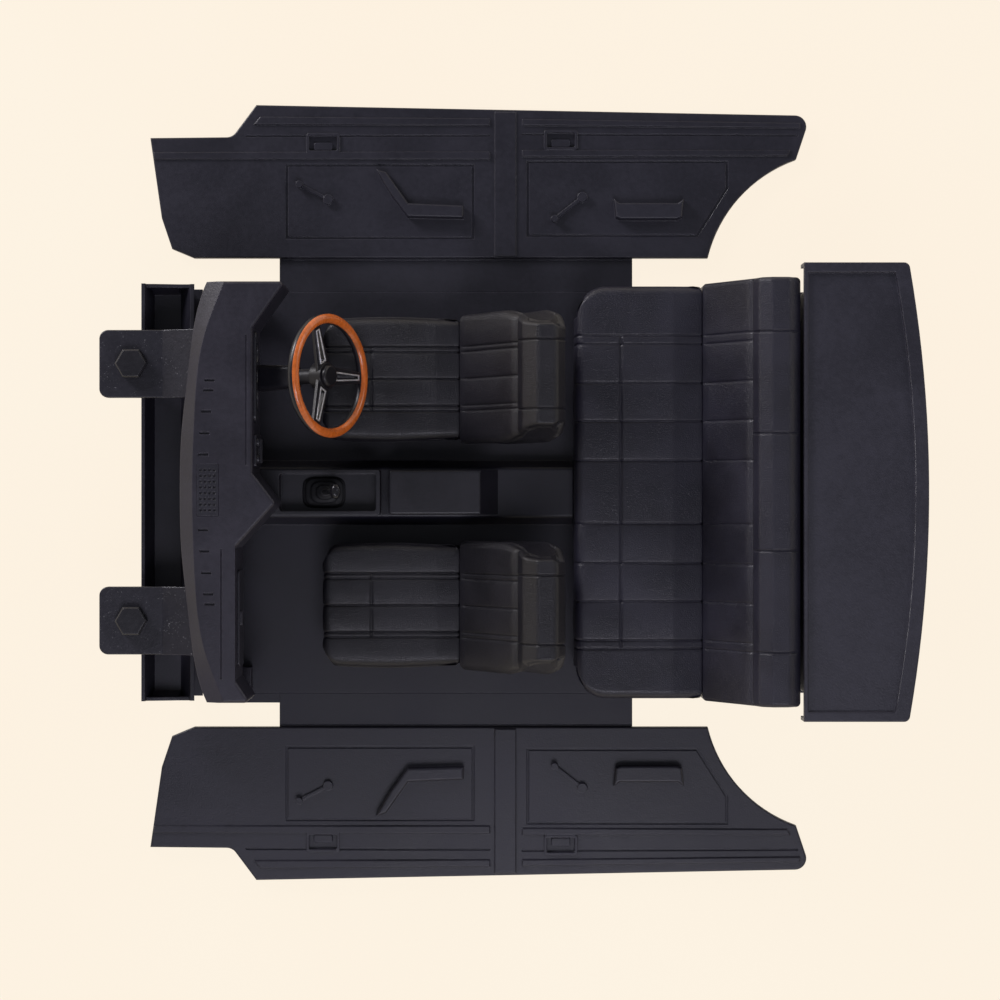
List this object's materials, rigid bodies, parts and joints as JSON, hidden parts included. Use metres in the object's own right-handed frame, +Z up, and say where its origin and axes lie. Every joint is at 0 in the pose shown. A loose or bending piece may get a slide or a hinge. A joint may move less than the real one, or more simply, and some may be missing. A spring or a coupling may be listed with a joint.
{
  "type": "model car interior tub",
  "caption": "Scale model car cockpit tub with dashboard, steering wheel, front seats, rear bench, parcel shelf, bolt tabs and fold-up door cards.",
  "frame": {"origin": "centre of the bounding box in plan, on the plane under the floor pan and the unfolded door cards", "axes": "-X towards the car's nose, +Y towards the driver's side, which is the car's right, +Z up"},
  "size_m": [0.2756, 0.2704, 0.0655],
  "materials": {
    "floor_plastic": "matt moulded black ABS",
    "trough_plastic": "matt moulded black ABS",
    "dash_plastic": "satin moulded black ABS",
    "grille_plastic": "satin moulded black ABS",
    "gauge_plastic": "gloss black",
    "panel_plastic": "satin moulded black ABS",
    "column_plastic": "satin moulded black ABS",
    "wheel_plastic": "satin black",
    "rim_orange": "glossy orange-brown lacquer",
    "spoke_silver": "silver paint",
    "console_plastic": "satin moulded black ABS",
    "boot_plastic": "pleated black",
    "lever_steel": "satin black",
    "knob_plastic": "gloss black",
    "seat_base_plastic": "matt moulded black ABS",
    "seat_plastic": "satin, grained like vinyl",
    "bench_plastic": "satin, grained like vinyl",
    "shelf_plastic": "satin moulded black ABS",
    "bracket_plastic": "satin moulded black ABS",
    "bolt_plastic": "satin black",
    "card_plastic": "satin moulded black ABS",
    "screw_steel": "zinc plated"
  },
  "bodies": {
    "tub": {"floor_pan": "floor_plastic", "sill_flanges": "floor_plastic", "toe_flanges": "floor_plastic", "floor_screws": "screw_steel", "right_fold_strip": "floor_plastic", "left_fold_strip": "floor_plastic", "front_bulkhead": "trough_plastic", "dashboard": "dash_plastic", "speaker_grille": "grille_plastic", "instrument_panel": "gauge_plastic", "heater_panel": "panel_plastic", "glovebox_lid": "panel_plastic", "steering_column": "column_plastic", "column_shroud": "column_plastic", "console_tray": "console_plastic", "gear_boot": "boot_plastic", "gear_lever": "lever_steel", "gear_knob": "knob_plastic", "console_box": "console_plastic", "driver_seat_base": "seat_base_plastic", "driver_seat_cushion": "seat_plastic", "driver_seat_back": "seat_plastic", "passenger_seat_base": "seat_base_plastic", "passenger_seat_cushion": "seat_plastic", "passenger_seat_back": "seat_plastic", "rear_bench_cushion": "bench_plastic", "rear_bench_back": "bench_plastic", "rear_bulkhead": "floor_plastic", "parcel_shelf": "shelf_plastic", "right_bracket": "bracket_plastic", "left_bracket": "bracket_plastic", "bracket_bolts": "bolt_plastic"},
    "steering_wheel": {"steering_wheel_frame": "wheel_plastic", "steering_wheel_rim": "rim_orange", "spoke_trims": "spoke_silver", "horn_pad": "wheel_plastic"},
    "right_card": {"right_door_card": "card_plastic"},
    "left_card": {"left_door_card": "card_plastic"}
  },
  "joints": [
    {"name": "steering_wheel_turn", "type": "hinge", "parent": "tub", "child": "steering_wheel", "pos_m": [-0.06, 0.0384, 0.048], "axis": [0.8387, 0, 0.5446], "continuous": true},
    {"name": "right_card_fold", "type": "hinge", "parent": "tub", "child": "right_card", "pos_m": [-0.019, 0.0814, 0.00105], "axis": [1, 0, 0], "range_deg": [0, 90], "deforming": ["right_fold_strip"]},
    {"name": "left_card_fold", "type": "hinge", "parent": "tub", "child": "left_card", "pos_m": [-0.019, -0.0814, 0.00105], "axis": [-1, 0, 0], "range_deg": [0, 90], "deforming": ["left_fold_strip"]}
  ]
}
